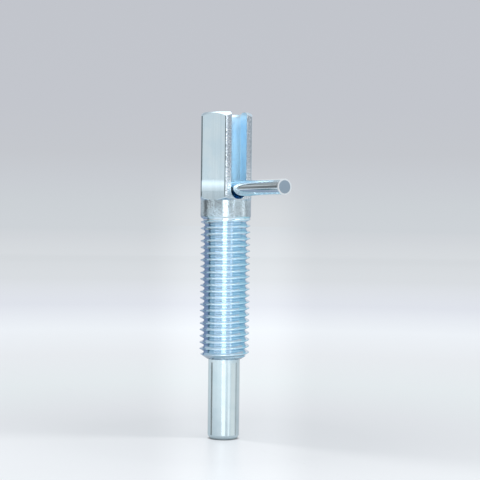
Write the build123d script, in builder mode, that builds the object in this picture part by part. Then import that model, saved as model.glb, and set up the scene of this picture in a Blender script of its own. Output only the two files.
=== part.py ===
from build123d import *
import math
import os

# An indexing plunger with an L-shaped handle.
#
# A coil spring pushes a hardened pin out of a threaded steel body. The handle is one bent
# rod: its leg runs down the axis through the spring and is pressed into the pin, and its
# arm stands out through a slot in the body's hexagon. Lifting the arm up the slot draws the
# pin back into the body. At the top the arm clears the hexagon.
#
# Millimetres. +Z is the plunger's axis, z = 0 is the pin's end face, and the slot and the
# arm face -Y.

# ---- Driving dimensions ----------------------------------------------------------------

# Pin
pin_diameter = 10.0
pin_projection = 25.3        # how far the pin stands out of the body when it is let go
pin_guide_length = 8.2       # how much of the pin stays inside the body when it is let go
pin_lead_in_height = 1.25    # the lead-in at the pin's end, along the axis
pin_lead_in_depth = 0.65     # the lead-in at the pin's end, across the axis
pin_shoulder_chamfer = 0.4   # the pin's upper edge, where the spring sits
pin_relief_length = 1.5      # the groove between the ground nose and the ground guide
pin_relief_depth = 0.25
press_depth = 12.0           # how far the handle's leg goes into the pin
drill_relief = 0.6           # drilled past the leg's end
drill_point_angle = 118.0    # included angle of the drill's point

# Body, turned from hexagon bar
across_flats = 16.0
hexagon_length = 27.5
top_chamfer_inset = 0.5      # the top face ends this far inside the flats
top_chamfer_angle = 40.0     # from the top face
hexagon_foot_angle = 35.0    # the corners turned away above the collar, from the face
collar_diameter = 16.0
collar_length = 5.2
thread_diameter = 15.69      # M16 x 2, over the crests of a 6g thread
thread_length = 44.9
thread_end_depth = 2.4       # the lead at the thread's end, across the axis
thread_end_angle = 38.0      # from the end face
upper_bore_diameter = 9.8    # the room for the elbow inside the hexagon
countersink = 0.8            # at the mouth of the upper bore
countersink_angle = 90.0     # included
web_thickness = 2.4          # between the upper bore and the spring's chamber
slot_floor_rise = 0.4        # the slot's round end above the hexagon's foot
slot_edge_break = 0.2
lathe_overrun = 1.0          # how far the turned outline is drawn past the hexagon's corners

# Handle, bent from round rod
rod_diameter = 4.8
arm_reach = 34.6             # from the axis to the arm's end face
bend_radius = 6.0            # of the rod's centreline
arm_end_chamfer = 0.48
leg_end_chamfer = 0.5

# Spring
wire_diameter = 0.8
wire_sides = 8               # the wire is drawn as a prism, its corners on the round wire
coil_count = 8

# Fits and gaps
pin_clearance = 0.05         # pin in its bore, radial
leg_clearance = 0.1          # leg in the web's hole, radial
slot_clearance = 0.3         # arm in the slot, each side
arm_gap = 0.75               # under the arm at the slot's round end
elbow_gap = 0.02             # elbow over the rim of the web's hole, where it comes to rest
spring_clearance = 0.35      # coil in its chamber, radial
lift_clearance = 0.25        # arm over the hexagon's top when the pin is drawn back

# ---- Heights and radii that follow -----------------------------------------------------

pin_radius = pin_diameter / 2
rod_radius = rod_diameter / 2
upper_bore_radius = upper_bore_diameter / 2
chamber_radius = pin_radius + pin_clearance
leg_hole_radius = rod_radius + leg_clearance
slot_width = rod_diameter + 2 * slot_clearance

body_bottom = pin_projection
collar_bottom = body_bottom + thread_length
hexagon_foot = collar_bottom + collar_length
body_top = hexagon_foot + hexagon_length

# The elbow dips below the arm where it passes the wall of the upper bore.
elbow_run = max(bend_radius - upper_bore_radius, 0)
elbow_dip = bend_radius - math.sqrt(bend_radius**2 - elbow_run**2)
slot_floor = hexagon_foot + slot_floor_rise
arm_height = slot_floor + arm_gap + rod_radius + elbow_dip

# The inside of the elbow comes to rest on the rim of the web's hole.
elbow_inner_radius = bend_radius - rod_radius
rim_run = bend_radius - leg_hole_radius
rim_rise = math.sqrt(elbow_inner_radius**2 - rim_run**2)
web_top = arm_height - bend_radius + rim_rise - elbow_gap
web_bottom = web_top - web_thickness

pin_top = body_bottom + pin_guide_length
leg_bottom = pin_top - press_depth
lift = body_top + lift_clearance - (arm_height - rod_radius)

os.makedirs("parts", exist_ok=True)

# ---- Body ------------------------------------------------------------------------------

hexagon_corner_radius = across_flats / math.sqrt(3)
turned_radius = hexagon_corner_radius + lathe_overrun
foot_rise = (turned_radius - collar_diameter / 2) * math.tan(math.radians(hexagon_foot_angle))
top_face_radius = across_flats / 2 - top_chamfer_inset
top_drop = (turned_radius - top_face_radius) * math.tan(math.radians(top_chamfer_angle))
thread_radius = thread_diameter / 2
thread_end_rise = thread_end_depth * math.tan(math.radians(thread_end_angle))

with BuildPart() as body:
    with BuildSketch(Plane.XY.offset(hexagon_foot)):
        RegularPolygon(across_flats / 2, 6, major_radius=False)
    extrude(amount=hexagon_length)

    # The lathe takes the hexagon's corners away at both ends.
    with BuildSketch(Plane.XZ):
        with BuildLine():
            Polyline(
                (0, hexagon_foot),
                (collar_diameter / 2, hexagon_foot),
                (turned_radius, hexagon_foot + foot_rise),
                (turned_radius, body_top - top_drop),
                (top_face_radius, body_top),
                (0, body_top),
                close=True,
            )
        make_face()
    revolve(axis=Axis.Z, mode=Mode.INTERSECT)

    # The slot runs from its round end up through the top face.
    slot_centre = slot_floor + slot_width / 2
    slot_straight = body_top - slot_centre
    with BuildSketch(Plane.XZ.offset(across_flats / 2)):
        with Locations((0, slot_centre)):
            Circle(slot_width / 2)
        with Locations((0, slot_centre + slot_straight / 2)):
            Rectangle(slot_width, slot_straight)
    extrude(amount=-across_flats / 2, mode=Mode.SUBTRACT)

    # The slot's edges are broken where they meet the flat.
    flat_edges = body.edges().group_by(Axis.Y)[0]
    slot_edges = flat_edges.filter_by_position(Axis.Z, slot_floor, body_top)
    slot_edges = slot_edges.filter_by_position(Axis.X, -slot_width / 2, slot_width / 2)
    chamfer(slot_edges, length=slot_edge_break)

    # The collar and the shank. The shank's thread is left off it here.
    with BuildSketch(Plane.XY.offset(collar_bottom)):
        Circle(collar_diameter / 2)
    extrude(amount=collar_length)
    with BuildSketch(Plane.XZ):
        with BuildLine():
            Polyline(
                (0, body_bottom),
                (thread_radius - thread_end_depth, body_bottom),
                (thread_radius, body_bottom + thread_end_rise),
                (thread_radius, collar_bottom),
                (0, collar_bottom),
                close=True,
            )
        make_face()
    revolve(axis=Axis.Z)

    # The upper bore, the web's hole and the spring's chamber.
    with Locations(Plane(origin=(0, 0, body_top))):
        CounterSinkHole(
            radius=upper_bore_radius,
            counter_sink_radius=upper_bore_radius + countersink,
            depth=body_top - web_top,
            counter_sink_angle=countersink_angle,
        )
    with Locations(Plane(origin=(0, 0, web_top))):
        Hole(leg_hole_radius, depth=web_thickness)
    with Locations(Plane(origin=(0, 0, body_bottom), z_dir=(0, 0, -1))):
        Hole(chamber_radius, depth=web_bottom - body_bottom)
body.part.label = "body"

# ---- Pin -------------------------------------------------------------------------------

with BuildPart() as plunger_pin:
    with BuildSketch():
        Circle(pin_radius)
    extrude(amount=pin_top)
    nose_edge = plunger_pin.edges().sort_by(Axis.Z)[0]
    chamfer(nose_edge, length=pin_lead_in_height, length2=pin_lead_in_depth)
    chamfer(plunger_pin.edges().sort_by(Axis.Z)[-1], length=pin_shoulder_chamfer)

    # The groove starts level with the body's end, so it is never seen.
    with BuildSketch(Plane.XY.offset(body_bottom)):
        Circle(pin_radius)
        Circle(pin_radius - pin_relief_depth, mode=Mode.SUBTRACT)
    extrude(amount=pin_relief_length, mode=Mode.SUBTRACT)

    # The blind hole for the handle's leg, with its drill point.
    drilled_depth = press_depth + drill_relief
    with Locations(Plane(origin=(0, 0, pin_top))):
        Hole(rod_radius, depth=drilled_depth)
    point_height = rod_radius / math.tan(math.radians(drill_point_angle / 2))
    with Locations((0, 0, pin_top - drilled_depth)):
        Cone(
            0,
            rod_radius,
            point_height,
            align=(Align.CENTER, Align.CENTER, Align.MAX),
            mode=Mode.SUBTRACT,
        )
plunger_pin.part.label = "plunger_pin"

# ---- Handle ----------------------------------------------------------------------------

with BuildPart() as l_handle:
    with BuildLine() as rod_centreline:
        FilletPolyline(
            (0, 0, leg_bottom),
            (0, 0, arm_height),
            (0, -arm_reach, arm_height),
            radius=bend_radius,
        )
    with BuildSketch(Plane.XY.offset(leg_bottom)):
        Circle(rod_radius)
    sweep(path=rod_centreline.wires()[0])
    chamfer(l_handle.edges().sort_by(Axis.Y)[0], length=arm_end_chamfer)
    chamfer(l_handle.edges().sort_by(Axis.Z)[0], length=leg_end_chamfer)
l_handle.part.label = "l_handle"

# ---- Spring ----------------------------------------------------------------------------

# Both end coils are ground flat, so the spring seats squarely on the pin and under the web.
coil_radius = chamber_radius - spring_clearance - wire_diameter / 2
spring_length = web_bottom - pin_top
coil_pitch = spring_length / coil_count

with BuildPart() as spring:
    with BuildLine() as coil:
        Helix(coil_pitch, spring_length, coil_radius, center=(0, 0, pin_top))
    with BuildSketch(Plane(origin=coil.line @ 0, x_dir=(1, 0, 0), z_dir=coil.line % 0)):
        RegularPolygon(wire_diameter / 2, wire_sides)
    sweep(path=coil.wires()[0], is_frenet=True)
    with Locations((0, 0, pin_top)):
        Box(
            2 * chamber_radius,
            2 * chamber_radius,
            spring_length,
            align=(Align.CENTER, Align.CENTER, Align.MIN),
            mode=Mode.INTERSECT,
        )
spring.part.label = "spring"

# ---- Output ----------------------------------------------------------------------------

export_step(body.part, "parts/body.step")
export_step(plunger_pin.part, "parts/plunger_pin.step")
export_step(l_handle.part, "parts/l_handle.step")
export_step(spring.part, "parts/spring.step")

print(f"overall height {body_top:.2f}, arm height {arm_height:.2f}, lift {lift:.2f}")
print(f"web from {web_bottom:.2f} to {web_top:.2f}, spring {spring_length:.2f} long")
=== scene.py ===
# %% [markdown]
# # An indexing plunger with an L-shaped handle
#
# The object is a threaded steel body with a spring-loaded pin inside it. A bent rod lifts
# the pin through a slot in the body's hexagon. All four pieces are zinc plated or bright
# steel, so this lesson is about two things: crisp machined edges that catch the light, and
# a studio that gives bare metal something to reflect.
#
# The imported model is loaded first. It fixes where each piece sits and how it moves. The
# pieces made below are drawn over it, in the same place and at the same size.

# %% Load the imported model
import math

import bmesh
import bpy
from mathutils import Matrix, Vector


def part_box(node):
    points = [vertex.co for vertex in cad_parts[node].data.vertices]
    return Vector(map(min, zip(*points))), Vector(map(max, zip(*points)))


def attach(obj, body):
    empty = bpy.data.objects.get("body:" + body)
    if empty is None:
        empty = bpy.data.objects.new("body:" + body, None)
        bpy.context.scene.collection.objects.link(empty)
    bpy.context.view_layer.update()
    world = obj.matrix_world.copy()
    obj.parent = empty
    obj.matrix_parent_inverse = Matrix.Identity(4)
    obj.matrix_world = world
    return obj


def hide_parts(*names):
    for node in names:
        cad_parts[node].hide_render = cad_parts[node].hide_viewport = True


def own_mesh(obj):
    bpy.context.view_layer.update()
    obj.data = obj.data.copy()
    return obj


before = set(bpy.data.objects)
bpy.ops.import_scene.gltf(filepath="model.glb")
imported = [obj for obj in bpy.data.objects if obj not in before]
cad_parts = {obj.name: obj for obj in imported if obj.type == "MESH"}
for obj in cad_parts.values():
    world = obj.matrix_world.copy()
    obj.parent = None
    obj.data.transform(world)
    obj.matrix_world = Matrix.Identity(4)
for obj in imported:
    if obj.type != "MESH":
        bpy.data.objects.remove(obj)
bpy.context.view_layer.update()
MM = 0.001

# %% [markdown]
# ## The sizes
#
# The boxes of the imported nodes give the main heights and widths. What a box can't tell,
# such as a chamfer's angle or the thread's depth, is written here once, in millimetres and
# degrees.

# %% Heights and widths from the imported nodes
body_low, body_high = (Vector(corner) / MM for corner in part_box("body"))
_, pin_high = (Vector(corner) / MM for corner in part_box("plunger_pin"))
rod_low, rod_high = (Vector(corner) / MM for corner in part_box("l_handle"))
_, coil_high = (Vector(corner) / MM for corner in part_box("spring"))

across_flats = body_high.y - body_low.y
body_bottom, body_top = body_low.z, body_high.z
pin_radius, pin_top = pin_high.x, pin_high.z
rod_radius, leg_bottom, arm_reach = rod_high.x, rod_low.z, -rod_low.y
arm_height = rod_high.z - rod_radius
web_bottom = coil_high.z
print("body", round(body_bottom, 2), "to", round(body_top, 2), "arm at", round(arm_height, 2))

# %% Sizes that the boxes don't give
collar_bottom, hexagon_foot, collar_radius = 70.2, 75.4, 8.0
foot_angle, top_angle, top_face_radius = 35.0, 40.0, 7.5
corner_rounding = 1.1
upper_bore_radius, countersink, web_top, leg_hole_radius = 4.9, 0.8, 73.874, 2.5
chamber_radius = 5.05
slot_width, slot_floor, slot_edge_break = 5.4, 75.8, 0.16
thread_pitch, thread_crest, thread_depth, thread_run_out = 2.0, 7.845, 1.3, 1.6
first_crest_height = 25.62
lead_radius, lead_angle = 5.445, 33.0
pin_end_radius, pin_lead_in = 4.35, 1.25
pin_relief_depth, pin_relief_length = 0.25, 1.5
pin_shoulder, press_depth = 0.4, 12.6
drill_half_angle = 59.0
rod_end_chamfer, bend_radius = 0.48, 6.0
wire_diameter, coil_count = 0.8, 9.0
print("thread", round(collar_bottom - body_bottom, 1), "long at a pitch of", thread_pitch)

# %% [markdown]
# ## Helpers for node trees
#
# Materials and Geometry Nodes are both trees of nodes, and both are built here from the
# same short calls. `add` makes a node and names its inputs, `join` feeds the inputs in
# order, and `calc` does the arithmetic. Each takes plain values or other nodes' outputs.

# %% Add nodes and feed them
def feed(tree, socket, value):
    """Links another node's output to a socket, or gives the socket a plain value."""
    if isinstance(value, bpy.types.NodeSocket):
        tree.links.new(value, socket)
    else:
        socket.default_value = value


def add(tree, kind, **inputs):
    """Adds a node. An input's name has _ for a space."""
    node = tree.nodes.new(kind)
    for label, value in inputs.items():
        feed(tree, node.inputs[label.replace("_", " ")], value)
    return node


def join(tree, kind, *values, operation=None):
    """Adds a node, feeds its inputs in order and returns all its outputs."""
    node = tree.nodes.new(kind)
    if operation:
        node.operation = operation
    for socket, value in zip(node.inputs, values):
        feed(tree, socket, value)
    return node.outputs


# %% Arithmetic between sockets
def calc(tree, operation, *values):
    return join(tree, "ShaderNodeMath", *values, operation=operation)[0]


def product(tree, first, *others):
    for other in others:
        first = calc(tree, "MULTIPLY", first, other)
    return first


def hypotenuse(tree, a, b):
    return calc(tree, "SQRT", calc(tree, "ADD", product(tree, a, a), product(tree, b, b)))


def fit_range(tree, value, low, high, to_low=0.0, to_high=1.0):
    """Slides a value from one range to another, easing in and out at the ends."""
    node = add(tree, "ShaderNodeMapRange", Value=value, From_Min=low, From_Max=high)
    node.interpolation_type = "SMOOTHSTEP"
    node.inputs["To Min"].default_value = to_low
    node.inputs["To Max"].default_value = to_high
    return node.outputs["Result"]


# %% [markdown]
# ## The zinc
#
# Blue-white zinc plate is a metal with a faint blue tint. One reflection off it looks almost
# white, and each further reflection deepens the blue, which is why the thread's grooves look
# so much bluer than the flats. A metallic Principled shader does the same by itself, so most
# of the blue comes from the base colour and the bounces, and small shifts of the tint do
# the rest; the darker tint in the thread's roots is painted shade. The Specular Tint is the
# colour that is left at a slant. White would put a bright rim on every round tooth, and the
# blue grey here keeps their tips as dark as they are on the real thread.
#
# The small marks are what make it steel, and each is a noise texture that feeds a Bump node
# with a height in microns. The few helpers below build those parts of a material.

# %% Start a metal finish, and measure it in millimetres
def new_finish(name):
    finish = bpy.data.materials.new(name)
    finish.use_nodes = True
    shader = finish.node_tree.nodes["Principled BSDF"]
    shader.inputs["Metallic"].default_value = 1.0
    return finish, finish.node_tree, shader


def in_millimetres(tree, stretch=(1, 1, 1)):
    here = add(tree, "ShaderNodeTexCoord").outputs["Object"]
    scale = [s / MM for s in stretch]
    return add(tree, "ShaderNodeMapping", Vector=here, Scale=scale).outputs["Vector"]


def place_on_piece(tree):
    """X, Y and Z in millimetres, and the distance from the plunger's axis."""
    x, y, z = join(tree, "ShaderNodeSeparateXYZ", in_millimetres(tree))
    return x, y, z, hypotenuse(tree, x, y)


# %% Grain, marks and tints
def grain(tree, size, stretch=(1, 1, 1), detail=2.0):
    """Noise with features of about this size in millimetres."""
    where = in_millimetres(tree, stretch)
    noise = add(tree, "ShaderNodeTexNoise", Vector=where, Scale=1 / size, Detail=detail)
    return noise.outputs["Fac"]


def raise_marks(tree, height, microns, before=None):
    bump = add(tree, "ShaderNodeBump", Height=height, Distance=microns * 1e-6)
    if before is not None:
        tree.links.new(before, bump.inputs["Normal"])
    return bump.outputs["Normal"]


def mix_tints(tree, share, first, second):
    node = add(tree, "ShaderNodeMix", Factor=share)
    node.data_type = "RGBA"
    for socket, colour in ((node.inputs[6], first), (node.inputs[7], second)):
        feed(tree, socket, (*colour, 1) if isinstance(colour, tuple) else colour)
    return node.outputs[2]


def clouded(tree, size, first, second):
    """Two tints in soft clouds of about this size in millimetres."""
    cloud = fit_range(tree, grain(tree, size, detail=3.0), 0.35, 0.65)
    return mix_tints(tree, cloud, first, second)


def set_surface(tree, shader, tint, marks, roughness):
    for label, value in (("Base Color", tint), ("Normal", marks), ("Roughness", roughness)):
        tree.links.new(value, shader.inputs[label])


# %% [markdown]
# ## Finishes for the body
#
# Four things mark the body. Drawn bar has fine lines along its length, so the hexagon's
# flats get noise stretched up the Z axis. Turned faces have rings, so the thread gets noise
# stretched around it. Parts like this are finished in a tumbling drum, which dents whatever
# stands out: the collar gets small dents and dark pits, and the two narrow lands beside the
# slot get a coarse speckle of bumps. Their tint is painted darker and speckled, as painted
# shade for the darker reflection that the lands show, and it is darker still towards the top.
# The chamfer round the top is duller than the flats, as a turned face is beside a drawn one.
#
# Where each kind of mark shows is decided by height and by distance from the axis, which a
# shader can work out from the object's own coordinates. Masks like these need no painting.

# %% Where each mark shows on the body
def body_places(tree):
    """Shares from 0 to 1, one for each region of the body's outside."""
    _, y, z, radius = place_on_piece(tree)
    flat = -across_flats / 2
    hexagon = fit_range(tree, z, hexagon_foot - 0.1, hexagon_foot + 0.3)
    thread = fit_range(tree, z, collar_bottom - 0.4, collar_bottom, 1.0, 0.0)
    groove = product(tree, thread, fit_range(tree, z, body_bottom + 1.8, body_bottom + 2.1))
    chamfer_slope = math.tan(math.radians(top_angle))
    cone = calc(tree, "MULTIPLY_ADD", radius, chamfer_slope, z)
    top_cone = body_top + top_face_radius * chamfer_slope
    return {
        "hexagon": hexagon,
        "thread": thread,
        "collar": calc(tree, "SUBTRACT", calc(tree, "SUBTRACT", 1.0, hexagon), thread),
        "groove": groove,
        "crest": product(tree, fit_range(tree, radius, 7.35, 7.75), thread),
        "root shade": product(tree, fit_range(tree, radius, 6.75, 6.62), groove),
        "land": product(tree, fit_range(tree, y, flat + 0.1, flat + 0.3, 1.0, 0.0), hexagon),
        "low": fit_range(tree, z, 90.0, 80.0),
        "chamfer": fit_range(tree, cone, top_cone - 0.15, top_cone - 0.05),
    }


# %% The tints of the plate
PLATE = {
    "clouds": ((0.62, 0.77, 0.86), (0.67, 0.80, 0.87)),
    "at a slant": (0.74, 0.77, 0.84),
    "streak": (0.56, 0.70, 0.78),
    "groove": (0.77, 0.86, 0.92),
    "crest": (0.70, 0.86, 0.95),
    # The root's darker, bluer tint is painted shade in the thread's roots.
    "root shade": (0.56, 0.73, 0.86),
    "pit": (0.26, 0.31, 0.36),
    # The lands' two pairs of tints are painted shade: darker than the plate, for the darker
    # reflection that the lands show.
    "shaded high land": ((0.52, 0.58, 0.64), (0.31, 0.37, 0.42)),
    "shaded low land": ((0.72, 0.79, 0.85), (0.46, 0.54, 0.60)),
}


def body_tint(tree, on, specks):
    tint = clouded(tree, 5.0, *PLATE["clouds"])
    streaks = fit_range(tree, grain(tree, 1.1, stretch=(1, 1, 0.012), detail=3.0), 0.4, 0.7)
    tint = mix_tints(tree, product(tree, streaks, on["hexagon"], 0.5), tint, PLATE["streak"])
    for region in ("groove", "crest", "root shade"):
        tint = mix_tints(tree, on[region], tint, PLATE[region])
    pits = fit_range(tree, grain(tree, 0.24, detail=0.0), 0.57, 0.65, 0.0, 0.85)
    tint = mix_tints(tree, product(tree, pits, on["collar"]), tint, PLATE["pit"])
    # Painted shade on the lands: darker, speckled tints, darker still towards the top.
    land_shade_specks = product(tree, fit_range(tree, specks, -0.15, 0.15), on["land"])
    high, low = (mix_tints(tree, land_shade_specks, *PLATE[land]) for land in ("shaded high land", "shaded low land"))
    return mix_tints(tree, on["land"], tint, mix_tints(tree, on["low"], high, low))


# %% The marks and the dullness of the plate
def body_marks(tree, on, specks):
    drawn = product(tree, grain(tree, 0.25, stretch=(1, 1, 0.02), detail=3.0), on["hexagon"])
    rings = product(tree, grain(tree, 0.2, stretch=(0.04, 0.04, 1)), on["thread"])
    lines = raise_marks(tree, calc(tree, "ADD", drawn, rings), 7.0)
    dents = calc(tree, "SUBTRACT", grain(tree, 0.2, detail=0.0), 0.5)
    dents = product(tree, dents, on["collar"], 0.14)
    return raise_marks(tree, calc(tree, "MULTIPLY_ADD", specks, on["land"], dents), 90.0, lines)


def body_roughness(tree, on):
    dulling = fit_range(tree, grain(tree, 1.6, detail=4.0), 0.3, 0.7, 0.03, 0.055)
    for region, more in (("thread", 0.05), ("collar", 0.03), ("land", 0.12), ("chamfer", 0.3)):
        dulling = calc(tree, "MULTIPLY_ADD", on[region], more, dulling)
    return dulling


# %% Zinc plate for the outside of the body
def body_zinc():
    finish, tree, shader = new_finish("body_zinc")
    shader.inputs["Specular Tint"].default_value = (*PLATE["at a slant"], 1)
    on = body_places(tree)
    specks = calc(tree, "SUBTRACT", grain(tree, 0.42, detail=1.0), 0.5)
    tint, marks = body_tint(tree, on, specks), body_marks(tree, on, specks)
    set_surface(tree, shader, tint, marks, body_roughness(tree, on))
    return finish


zinc = body_zinc()
print("finish", zinc.name)


# %% [markdown]
# Inside the slot and the bores nothing has been tumbled, so the plate is matt there, and a
# little bluer. A higher roughness also mixes the many reflections in the channel into one
# smooth glow, instead of a row of hard stripes. The bore's wall is paler than the slot's
# sides. Under the arm the tint is painted a deep blue: painted shade, for the little light
# that gets there after many bounces. Towards the top the tint deepens a little again.

# %% Matt zinc for the slot and the bores
def bore_zinc():
    finish, tree, shader = new_finish("bore_zinc")
    shader.inputs["Metallic"].default_value = 0.85
    _, _, z, radius = place_on_piece(tree)
    in_bore = fit_range(tree, radius, upper_bore_radius + 0.3, upper_bore_radius + 0.1)
    painted_shade_under_arm = fit_range(tree, z, arm_height - 0.6, arm_height - 2.0)
    near_top = fit_range(tree, z, 92.0, 101.0, 0.0, 0.4)
    tint = clouded(tree, 2.5, (0.64, 0.86, 1.0), (0.68, 0.88, 1.0))
    tint = mix_tints(tree, in_bore, tint, (0.84, 0.95, 1.0))
    # Painted shade: the tint turns deep blue under the arm, where little light gets in.
    tint = mix_tints(tree, painted_shade_under_arm, tint, (0.05, 0.38, 0.80))
    tint = mix_tints(tree, near_top, tint, (0.50, 0.73, 0.90))
    marks = raise_marks(tree, grain(tree, 0.25, stretch=(0.3, 0.3, 1)), 2.0)
    dulling = fit_range(tree, grain(tree, 1.2, detail=3.0), 0.3, 0.7, 0.28, 0.36)
    set_surface(tree, shader, tint, marks, dulling)
    return finish


inner_zinc = bore_zinc()
print("finish", inner_zinc.name)


# %% [markdown]
# ## Finishes for the round pieces
#
# The pin is ground, so its fine lines run round it. The handle is drawn rod, so its lines
# run along it, and its end was cut: that end is duller, with a dark face inside a light
# chamfer. The spring's wire is only oiled, grey and dull. All three are the same few nodes
# with other numbers, so one function makes them.

# %% The rod's cut end
def rod_end_places(tree):
    """1 on the arm's end, and 1 on the flat face within its chamfer."""
    x, y, z, _ = place_on_piece(tree)
    chamfer_start = rod_end_chamfer - arm_reach
    at_end = fit_range(tree, y, chamfer_start - 0.02, chamfer_start - 0.08)
    off_centre = hypotenuse(tree, x, calc(tree, "SUBTRACT", z, arm_height))
    face_radius = rod_radius - rod_end_chamfer
    in_face = fit_range(tree, off_centre, face_radius + 0.1, face_radius)
    return at_end, product(tree, at_end, in_face)


# %% Ground and drawn steel for the pin, the handle and the spring
def bright_steel(name, clouds, roughness, line_stretch, microns, cut_end=False):
    finish, tree, shader = new_finish(name)
    tint = clouded(tree, 4.0, *clouds)
    lines = raise_marks(tree, grain(tree, 0.14, stretch=line_stretch, detail=3.0), microns)
    haze = raise_marks(tree, grain(tree, 0.5), 2.0, lines)
    uneven = grain(tree, 1.2, detail=4.0)
    dulling = fit_range(tree, uneven, 0.3, 0.7, roughness - 0.02, roughness + 0.03)
    if cut_end:
        at_end, on_face = rod_end_places(tree)
        tint = mix_tints(tree, at_end, tint, (0.80, 0.86, 0.90))
        tint = mix_tints(tree, on_face, tint, (0.32, 0.41, 0.50))
        dulling = calc(tree, "MULTIPLY_ADD", at_end, 0.22, dulling)
    set_surface(tree, shader, tint, haze, dulling)
    return finish


ROUND_IT, ALONG_Y, ALL_WAYS = (0.03, 0.03, 1), (1, 0.02, 1), (1, 1, 1)
pin_clouds = ((0.60, 0.725, 0.775), (0.64, 0.755, 0.80))
rod_clouds = ((0.64, 0.75, 0.81), (0.70, 0.79, 0.84))
wire_clouds = ((0.36, 0.36, 0.37), (0.46, 0.45, 0.44))
pin_finish = bright_steel("ground_pin_zinc", pin_clouds, 0.10, ROUND_IT, 0.8)
rod_finish = bright_steel("drawn_rod_zinc", rod_clouds, 0.09, ALONG_Y, 0.8, cut_end=True)
wire_finish = bright_steel("oiled_spring_wire", wire_clouds, 0.30, ALL_WAYS, 1.0)
print("finishes", pin_finish.name, rod_finish.name, wire_finish.name)

# %% [markdown]
# ## Turned shapes
#
# A lathe makes whatever an outline sweeps out as it goes round. The outline is a list of
# points (radius, height). Sharp corners look false, because real edges are always broken
# by a file or a tumbling drum, so `rounded` swaps each corner for a small arc. It also adds
# a point just before and after the arc. Those keep the shading of the flat faces flat, and
# leave the soft gradient to the thin strip at the edge, where it belongs.

# %% Outline helpers
CORNER_SHARE = 0.45    # of the shorter side beside a corner, so that no two corners meet
ARC_SHARE = 0.8        # of that, so that there is room for the points beside the arc


def rounded(corners, arc_pieces=4, hold=0.08):
    """corners are (radius, height, rounding). Returns the outline's points."""
    points = [Vector(corners[0][:2])]
    for before, here, after in zip(corners, corners[1:], corners[2:]):
        corner = Vector(here[:2])
        back, ahead = Vector(before[:2]) - corner, Vector(after[:2]) - corner
        room = CORNER_SHARE * min(back.length, ahead.length)
        if here[2] == 0 or room < 1e-6:
            points += [corner.copy() for _ in range(arc_pieces + 3)]
            continue
        turn = math.pi - back.angle(ahead)
        setback = min(here[2] * math.tan(turn / 2), room * ARC_SHARE)
        back.normalize()
        ahead.normalize()
        first, last = corner + back * setback, corner + ahead * setback
        margin = min(hold, room - setback)
        points.append(first + back * margin)
        for piece in range(arc_pieces + 1):
            share = piece / arc_pieces
            points.append(first.lerp(corner, share).lerp(corner.lerp(last, share), share))
        points.append(last + ahead * margin)
    points.append(Vector(corners[-1][:2]))
    return points


def finished_mesh(form, name):
    """Turns every face outwards, shades them smooth and gives the mesh a name."""
    bmesh.ops.recalc_face_normals(form, faces=form.faces)
    mesh = bpy.data.meshes.new(name)
    form.to_mesh(mesh)
    form.free()
    mesh.shade_smooth()
    return mesh


def turned(name, outline_at, angles, closed=False):
    """Sweeps outline_at(angle) round the axis, and returns the mesh in metres."""
    form = bmesh.new()
    rings = []
    for angle in angles:
        across, along = math.cos(angle) * MM, math.sin(angle) * MM
        ring = [(r * across, r * along, z * MM) for r, z in outline_at(angle)]
        rings.append([form.verts.new(point) for point in ring])
    steps = len(rings[0]) if closed else len(rings[0]) - 1
    for here, there in zip(rings, rings[1:] + rings[:1]):
        for k in range(steps):
            m = (k + 1) % len(here)
            form.faces.new((here[k], there[k], there[m], here[m]))
    bmesh.ops.remove_doubles(form, verts=form.verts, dist=1e-7)
    bmesh.ops.dissolve_degenerate(form, edges=form.edges, dist=1e-7)
    return finished_mesh(form, name)


def evenly(count):
    return [2 * math.pi * i / count for i in range(count)]


# %% [markdown]
# ## The body's head and bores
#
# The body starts as hexagon bar. The lathe turns the collar, cuts the hexagon's corners away
# at both ends, and bores it. A hexagon is not round, so the outline changes with the angle:
# the flat stands further out towards each corner, and the two turned cones meet it higher
# or lower. Because every column has its own outline, the curved edges where a cone meets a
# flat run exactly along mesh edges.

# %% The hexagon's radius at an angle
sixth = math.pi / 3
flat_half_angle = math.atan((1 - 2 * corner_rounding / across_flats) * math.tan(sixth / 2))
corner_centre = (across_flats / 2 - corner_rounding) / math.cos(sixth / 2)


def hexagon_radius(angle):
    from_flat = angle % sixth - sixth / 2
    if abs(from_flat) <= flat_half_angle:
        return across_flats / 2 / math.cos(from_flat)
    from_corner = sixth / 2 - abs(from_flat)
    across = corner_centre * math.sin(from_corner)
    return corner_centre * math.cos(from_corner) + math.sqrt(corner_rounding**2 - across**2)


print("corner radius", round(hexagon_radius(0.0), 3))


# %% Columns and outline of the head
def head_angles(flat_pieces=24, corner_pieces=8, hold=0.12):
    flat_half_width = (across_flats / 2 - corner_rounding) * math.tan(sixth / 2)
    even_half = math.atan((flat_half_width - hold) / (across_flats / 2))
    corner_gap = sixth - 2 * flat_half_angle
    angles = []
    for flat in range(6):
        centre = sixth / 2 + flat * sixth
        angles.append(centre - flat_half_angle)
        for i in range(flat_pieces + 1):
            angles.append(centre - even_half + 2 * even_half * i / flat_pieces)
        corner = centre + flat_half_angle
        angles += [corner + corner_gap * i / corner_pieces for i in range(corner_pieces)]
    return angles


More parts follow.
